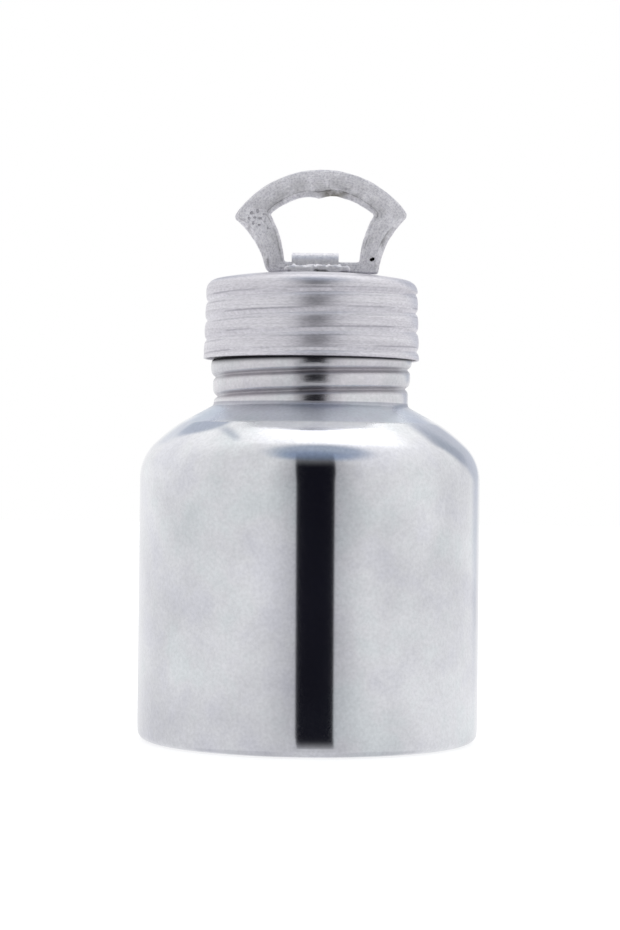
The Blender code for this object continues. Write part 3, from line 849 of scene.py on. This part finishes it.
# %% Finishes in layers
def new_finish(name, roughness, metallic=1.0, colour="E8E8EC", marks=()):
    """A material with its shader ready, the object's own place in metres, and the marks of its mesh."""
    material = bpy.data.materials.new(name)
    material.use_nodes = True
    tree = material.node_tree
    shader = tree.nodes["Principled BSDF"]
    fill(tree, shader, {"Base Color": linear(colour), "Metallic": metallic, "Roughness": roughness})
    values = [add_node(tree, "Attribute", attribute_name=mark).outputs["Fac"] for mark in marks]
    return material, tree, shader, add_node(tree, "TexCoord").outputs["Object"], values


def cloudy(tree, place, size, stops, detail=2.0, roughness=0.5):
    """Colours spread over noise whose blobs are about `size` metres across."""
    settings = {"Vector": place, "Scale": 1 / size, "Detail": detail, "Roughness": roughness}
    return add_node(tree, "ValToRGB", {"Fac": add_node(tree, "TexNoise", settings)}, stops)


def layered(tree, colour, layers):
    """A colour multiplied by each layer's colour, as far as that layer's amount says."""
    for amount, tint in layers:
        inputs = {"Fac": amount, "Color1": colour, "Color2": tint}
        colour = add_node(tree, "MixRGB", inputs, blend_type="MULTIPLY")
    return colour


def rings_across(tree, place, spacing, round_size=0.05):
    """Noise on (x, y, height minus radius): `spacing` wide across the lathe's rings, long round them."""
    parts = add_node(tree, "SeparateXYZ", {"Vector": place}).outputs
    flat = add_node(tree, "CombineXYZ", {"X": parts["X"], "Y": parts["Y"]})
    radius = add_node(tree, "VectorMath", (flat,), operation="LENGTH").outputs["Value"]
    step = add_node(tree, "Math", (parts["Z"], radius), operation="SUBTRACT")
    near = add_node(tree, "CombineXYZ", {"X": parts["X"], "Y": parts["Y"], "Z": step})
    scale = (1 / round_size, 1 / round_size, 1 / spacing)
    near = add_node(tree, "VectorMath", (near, scale), operation="MULTIPLY")
    return add_node(tree, "TexNoise", {"Vector": near, "Scale": 1.0, "Detail": 4.0})


# %% [markdown]
# ### Polished spun aluminium
#
# Buffed aluminium mirrors its surroundings, under a bloom that clouds it in patches of 8 to 25 mm, some
# faintly violet and some faintly green. The finest frosting is too fine to show and is drawn 1.1 mm coarse.
# The marks on the mesh say where shade is painted darker: in the corner under the neck, in the thread's
# groove, in a ring under the lid's edge and on the neck in front and behind. They also say where the shoulder
# is hazy, rough and white.

# %% The jar's finish
marks = ("dull", "haze", "painted_shade", "rough", "white")
polished, tree, shader, place, values = new_finish("polished spun aluminium", 0.08, marks=marks)
dull, haze, painted_shade, rough, white = values
height = add_node(tree, "SeparateXYZ", {"Vector": place}).outputs["Z"]
on_neck = add_node(tree, "MapRange", {"Value": height, "From Min": 0.1095, "From Max": 0.1125})
bloom = [(0.36, "EFF0F6"), (0.5, "F4F5F8"), (0.64, "F0F5F7")]
colour = layered(tree, cloudy(tree, place, 0.020, bloom, 5.0, 0.62), [
    (1.0, cloudy(tree, place, 0.034, [(0.35, "E8E8E9"), (0.65, "FFFFFF")], 4.0, 0.55)),
    (1.0, cloudy(tree, place, 0.0011, [(0.3, "F3F3F3"), (0.7, "FFFFFF")])),
    # Painted shade in the corner under the neck and in the thread's groove.
    (dull, linear("C8C5C8")),
    (haze, linear("F7FAFF")),
    # Painted shadow under the lid's edge, and painted shade on the neck in front and behind.
    (painted_shade, linear("4A4A4E")),
    (on_neck, linear("F4F1F2")),
])
shine = add_node(tree, "Math", (on_neck, 0.12, 0.08), operation="MULTIPLY_ADD")
shine = add_node(tree, "Math", (rough, 0.20, shine), operation="MULTIPLY_ADD")
mirror = add_node(tree, "Math", (white, -0.9, 1.0), operation="MULTIPLY_ADD")
depth = add_node(tree, "Math", (on_neck, 0.35), operation="MULTIPLY")
rings = rings_across(tree, place, 0.0005, 0.004)
bump = add_node(tree, "Bump", {"Height": rings, "Strength": depth, "Distance": 0.0001})
fill(tree, shader, {"Base Color": colour, "Roughness": shine, "Metallic": mirror, "Normal": bump})
print("%s: %d nodes" % (polished.name, len(tree.nodes)))

# %% [markdown]
# ### Turned aluminium
#
# A lathe tool leaves rings a tenth or two of a millimetre apart on the lid, and they blur what it mirrors
# into soft bands. They are too fine to show, so noise that is stretched round the axis draws them about
# 0.6 mm apart, and a finer, shorter noise gives the speckle between.

# %% The lid's finish
lathed, tree, shader, place, (dull, cut) = new_finish("turned aluminium", 0.38, marks=("dull", "cut"))
rings, speckle = rings_across(tree, place, 0.0006), rings_across(tree, place, 0.0004, 0.0014)
tint = add_node(tree, "ValToRGB", {"Fac": rings}, [(0.3, "DEDCE2"), (0.5, "EAE8EE"), (0.7, "F3F2F6")])
flecks = add_node(tree, "ValToRGB", {"Fac": speckle}, [(0.3, "E4E4E4"), (0.7, "FFFFFF")])
patches = rings_across(tree, place, 0.002, 0.02)
broken = add_node(tree, "ValToRGB", {"Fac": patches}, [(0.42, "000000"), (0.55, "FFFFFF")])
cut = add_node(tree, "Math", (cut, broken), operation="MULTIPLY")
mirror = add_node(tree, "Math", (dull, -0.45, 0.90), operation="MULTIPLY_ADD")
heights = add_node(tree, "Math", (rings, speckle), operation="ADD")
fill(tree, shader, {
    "Base Color": layered(tree, tint, [(1.0, flecks), (cut, linear("C4C3C8"))]),
    "Metallic": mirror,
    "Anisotropic": 0.5,
    "Anisotropic Rotation": 0.25,
    "Tangent": add_node(tree, "Tangent", direction_type="RADIAL", axis="Z"),
    "Normal": add_node(tree, "Bump", {"Height": heights, "Strength": 0.4, "Distance": 0.00006}),
})
print("%s: %d nodes" % (lathed.name, len(tree.nodes)))

# %% [markdown]
# ### Cast aluminium
#
# Sand leaves a grain of 0.3 to 0.8 mm and a dull grey skin. A file then took the flash off along the
# handle, which left fine scratches that follow it, so they are drawn on the attributes that run along and
# across it.

# %% The handle's finish
marks = ("along", "across", "step", "stain", "painted_shadow")
cast, tree, shader, place, values = new_finish("sand-cast aluminium", 0.55, 0.38, marks=marks)
along, across, step, stain, painted_shadow = values
settings = {"Vector": place, "Scale": 1 / 0.0007, "Detail": 4.0, "Roughness": 0.6}
grit = add_node(tree, "TexNoise", settings)
blotch = add_node(tree, "TexNoise", {"Vector": place, "Scale": 1 / 0.0035, "Detail": 3.0})
strip = add_node(tree, "CombineXYZ", {"X": along, "Y": across})
strip = add_node(tree, "VectorMath", (strip, (1 / 5.0, 1 / 0.28, 1.0)), operation="MULTIPLY")
scratches = add_node(tree, "TexNoise", {"Vector": strip, "Scale": 1.0, "Detail": 3.0})
broken = cloudy(tree, place, 0.004, [(0.4, "505050"), (0.6, "FFFFFF")])
step, stain = (add_node(tree, "Math", (m, broken), operation="MULTIPLY") for m in (step, stain))
skin = add_node(tree, "ValToRGB", {"Fac": grit}, [(0.3, "CFCDD3"), (0.5, "F0EFF3"), (0.7, "FFFEFF")])
skin = layered(tree, skin, [
    (1.0, add_node(tree, "ValToRGB", {"Fac": blotch}, [(0.35, "F2F2F2"), (0.62, "FFFFFF")])),
    (1.0, add_node(tree, "ValToRGB", {"Fac": scratches}, [(0.36, "ECECEE"), (0.56, "FFFFFF")])),
    # Painted shade along the bevel's step.
    (step, linear("7C7B7A")),
    (stain, linear("A6A498")),
    # Painted shade, near black, inside the blow-holes.
    (painted_shadow, linear("101012")),
])
heights = add_node(tree, "Math", (blotch, scratches), operation="ADD")
heights = add_node(tree, "Math", (grit, heights), operation="ADD")
bump = add_node(tree, "Bump", {"Height": heights, "Strength": 0.85, "Distance": 0.00018})
fill(tree, shader, {"Base Color": skin, "Normal": bump})
print("%s: %d nodes" % (cast.name, len(tree.nodes)))

# %% [markdown]
# ### Rolled sheet and rubber
#
# The clip and its rivets are plain rolled sheet and wire, sheared and hammered, so they are bright but not
# mirror-like. The washer is soft matte rubber.

# %% The small pieces' finishes
sheet, tree, shader, place, (painted_shadow,) = new_finish("rolled aluminium sheet", 0.5, marks=("painted_shadow",))
flecks = add_node(tree, "TexNoise", {"Vector": place, "Scale": 1 / 0.0009, "Detail": 4.0})
skin = add_node(tree, "ValToRGB", {"Fac": flecks}, [(0.3, "DCDBE0"), (0.5, "F0EFF3"), (0.7, "FAFAFB")])
# Painted shadow, near black, in the gap under the lifted foot.
skin = layered(tree, skin, [(painted_shadow, linear("101012"))])
bump = add_node(tree, "Bump", {"Height": flecks, "Strength": 0.5, "Distance": 0.00015})
fill(tree, shader, {"Base Color": skin, "Normal": bump})

rubber, tree, shader, place, _ = new_finish("white rubber", 0.6, metallic=0.0)
chalk = cloudy(tree, place, 0.004, [(0.35, "DEDBD0"), (0.65, "EBE9E2")], 4.0)
fill(tree, shader, {"Base Color": chalk})
print("%s and %s" % (sheet.name, rubber.name))

# %% Each piece gets its finish
for pieces, material, slot in (
    ([jar], polished, "polished_aluminium"),
    ([lid], lathed, "turned_aluminium"),
    ([clip, *rivets], sheet, "turned_aluminium"),
    ([handle], cast, "cast_aluminium"),
    ([seal], rubber, "white_rubber"),
):
    for piece in pieces:
        piece.data.materials.append(material)
    print("%s on %s" % (material.name, ", ".join(piece.name for piece in pieces)))

# %% [markdown]
# ## The studio
#
# Polished metal shows its surroundings rather than itself. The real jar stood in a white tent with a dark
# slot for the lens, so the world here is that tent: a soft white all round, and a few softly edged panels
# placed by direction. Straight up is the middle of the plan, and the horizon is at distance 1 from it.
# Lamps and cards round the jar would do the same, but a world needs no light to be aimed.

# %% The plan of directions
world = bpy.data.worlds.new("white tent")
world.use_nodes = True
bpy.context.scene.world = world
tree = world.node_tree
direction = add_node(tree, "TexCoord").outputs["Generated"]
parts = add_node(tree, "SeparateXYZ", {"Vector": direction}).outputs
down = add_node(tree, "Math", (parts["Z"],), operation="ARCCOSINE")
distance = add_node(tree, "Math", (down, 2 / math.pi), operation="MULTIPLY")
level = add_node(tree, "CombineXYZ", {"X": parts["X"], "Y": parts["Y"]})
level = add_node(tree, "VectorMath", (level,), operation="NORMALIZE")
plan = add_node(tree, "VectorMath", {0: level, "Scale": distance}, operation="SCALE")
side = add_node(tree, "SeparateXYZ", {"Vector": level}).outputs["X"]
plan_x, plan_y, _ = add_node(tree, "SeparateXYZ", {"Vector": plan}).outputs
print("plan of directions: %d nodes" % len(tree.nodes))

# %% Shapes of the panels


def within(value, middle, half, soft):
    """1 within half of the middle and 0 beyond, with an edge `soft` wide."""
    away = add_node(tree, "Math", (value, middle), operation="SUBTRACT")
    away = add_node(tree, "Math", (away,), operation="ABSOLUTE")
    edge = {"Value": away, "From Min": half + soft / 2, "From Max": half - soft / 2}
    return add_node(tree, "MapRange", edge, interpolation_type="SMOOTHSTEP")


def box(x, y, wide, high, soft_x, soft_y):
    """A panel with straight sides on the plan."""
    sides = (within(plan_x, x, wide, soft_x), within(plan_y, y, high, soft_y))
    return add_node(tree, "Math", sides, operation="MULTIPLY")


def oval(x, y, wide, high, soft):
    """A panel with a round outline on the plan: within one of the length of (dx / wide, dy / high)."""
    pair = add_node(tree, "VectorMath", (plan, (x, y, 0.0)), operation="SUBTRACT")
    pair = add_node(tree, "VectorMath", (pair, (wide, high, 1.0)), operation="DIVIDE")
    length = add_node(tree, "VectorMath", (pair,), operation="LENGTH").outputs["Value"]
    return within(length, 0.0, 1.0, soft)


def below_level(start, end, most):
    """0 above the level `start` and `most` below the level `end`, by distance on the plan."""
    return add_node(tree, "MapRange", {"Value": distance, "From Min": start, "From Max": end, "To Max": most})


def beside_slit():
    """The tent's folds beside the slot, darker towards it."""
    cover = (within(side, 0.09, 0.40, 0.50), within(plan_y, -1.2, 0.95, 0.6))
    return add_node(tree, "Math", cover, operation="MULTIPLY")


# %% The slot for the lens
def slit(soft):
    """The upright slot: in front, from low down up to 43 degrees, with nearly upright sides.

    Its middle is 0.005 + 0.060 d, and 0.28 more for each unit of d below the horizon; it is
    0.056 + 0.162 d to each side, with d the distance on the plan.
    """
    middle = add_node(tree, "Math", (distance, 0.060, 0.005), operation="MULTIPLY_ADD")
    low = add_node(tree, "Math", (distance, 1.01), operation="SUBTRACT", use_clamp=True)
    middle = add_node(tree, "Math", (low, 0.28, middle), operation="MULTIPLY_ADD")
    half = add_node(tree, "Math", (distance, 0.162, 0.056), operation="MULTIPLY_ADD")
    across = add_node(tree, "Math", (plan_x, middle), operation="SUBTRACT")
    across = add_node(tree, "Math", (across, half), operation="DIVIDE")
    cover = within(across, 0.0, 1.0, soft)
    for nothing_at, full_at in ((0.20, 0.68), (1.165, 1.095)):
        end = {"Value": distance, "From Min": nothing_at, "From Max": full_at}
        end = add_node(tree, "MapRange", end, interpolation_type="SMOOTHSTEP")
        cover = add_node(tree, "Math", (cover, end), operation="MULTIPLY")
    front = add_node(tree, "Math", (plan_y, 0.0), operation="LESS_THAN")
    return add_node(tree, "Math", (cover, front), operation="MULTIPLY")


# %% The tent's brightness
# From the front to the back the tent grows brighter. Then come its panels: cover, colour and strength.
across_tent = add_node(tree, "Math", (plan_x, 0.05, 0.5), operation="MULTIPLY_ADD")
across_tent = add_node(tree, "Math", (plan_y, 0.5, across_tent), operation="MULTIPLY_ADD")
light = add_node(tree, "ValToRGB", {"Fac": across_tent}, [
    (0.0, "EBEBEC"), (0.45, "EEEEEF"), (0.65, "F0F0F1"), (0.76, "F2F2F3"), (0.93, "F8F8F9"), (1.0, "FDFDFE"),
])
PANELS = {
    "folds beside the slot": (beside_slit(), "B4B4B8", 1.0),
    "towards the floor": (below_level(0.98, 1.12, 0.5), "DADADE", 1.0),
    "table under the foot": (below_level(1.45, 1.60, 1.0), "D4D4D8", 1.0),
    "soft light from the right": (oval(0.40, 0.10, 0.36, 0.42, 1.2), "FAFAFB", 1.0),
    "bright roof": (oval(0.00, 0.26, 0.50, 0.36, 1.2), "FFFFFF", 1.10),
    "lamp behind the roof": (oval(0.06, 0.18, 0.24, 0.16, 1.2), "FFFFFF", 1.6),
    "blue gap in front": (oval(0.06, -0.25, 0.28, 0.22, 0.7), "AEB8C8", 1.0),
    "blue gap, deeper": (oval(0.02, -0.35, 0.20, 0.12, 1.2), "94A2BB", 1.0),
    "grey rear right": (oval(0.37, 0.72, 0.24, 0.22, 0.5), "CFD3DD", 1.0),
    "grey rear right, near edge": (oval(0.43, 0.57, 0.16, 0.10, 1.0), "B9BFCB", 1.0),
    "pale rear left": (oval(-0.15, 0.68, 0.15, 0.16, 0.9), "DADEE6", 1.0),
    "grey rear left": (oval(-0.25, 0.55, 0.065, 0.14, 0.4), "BEC5D2", 1.0),
    "fold at the left": (box(-0.262, 0.29, 0.014, 0.10, 0.025, 0.10), "DADEE6", 1.0),
    "lens slot": (slit(0.04), "15151D", 1.0),
}
for name, (cover, colour, strength) in PANELS.items():
    tint = (*(c * strength for c in linear(colour)[:3]), 1.0)
    light = add_node(tree, "MixRGB", {"Fac": cover, "Color1": light, "Color2": tint})
    print("tent:", name)

# %% What the camera sees of it
# The photo's background is plain white, so the camera sees white where the metal mirrors the tent.
seen = add_node(tree, "LightPath").outputs["Is Camera Ray"]
light = add_node(tree, "MixRGB", {"Fac": seen, "Color1": light, "Color2": (1.0, 1.0, 1.0, 1.0)})
fill(tree, tree.nodes["Background"], {"Color": light})
bpy.context.scene.view_settings.view_transform = "Standard"
print("tent: %d nodes" % len(tree.nodes))

# %% The floor
# A pale sheet, bright enough to leave only a faint shadow at the foot. The metal mirrors the tent, not the
# floor, so the floor is hidden from mirrored rays.
angle = around(96)
radii = np.array([0.5, 60, 200, 3000])[:, None]
disc = np.stack([radii * np.cos(angle), radii * np.sin(angle), np.full((4, 96), -0.15)], -1)
under = disc[::-1] - np.array([0, 0, 1.0])
floor = add_surface("floor", np.concatenate([disc, under]), ends="caps")
pale, tree, shader, _, _ = new_finish("pale paper", 1.0, metallic=0.0, colour="C8C8C8")
glow = {"Specular IOR Level": 0.0, "Emission Color": (1.0, 1.0, 1.0, 1.0), "Emission Strength": 0.66}
fill(tree, shader, glow)
floor.data.materials.append(pale)
floor.visible_glossy = False

# %% The camera
# The photo was taken from about 0.8 m away and level with the upper wall, with the container leaning about
# half a degree in the picture.
camera = put("camera", bpy.data.cameras.new("camera"))
camera.data.sensor_width = 36.0
camera.data.lens = 94.45
camera.data.clip_start, camera.data.clip_end = 0.01, 20.0
camera.location = (-0.00002, -0.8133, 0.09115)
camera.rotation_euler = (math.pi / 2, -0.0115, 0.0)
bpy.context.scene.camera = camera
print("camera at %.3f m, lens %.2f mm" % (-camera.location.y, camera.data.lens))
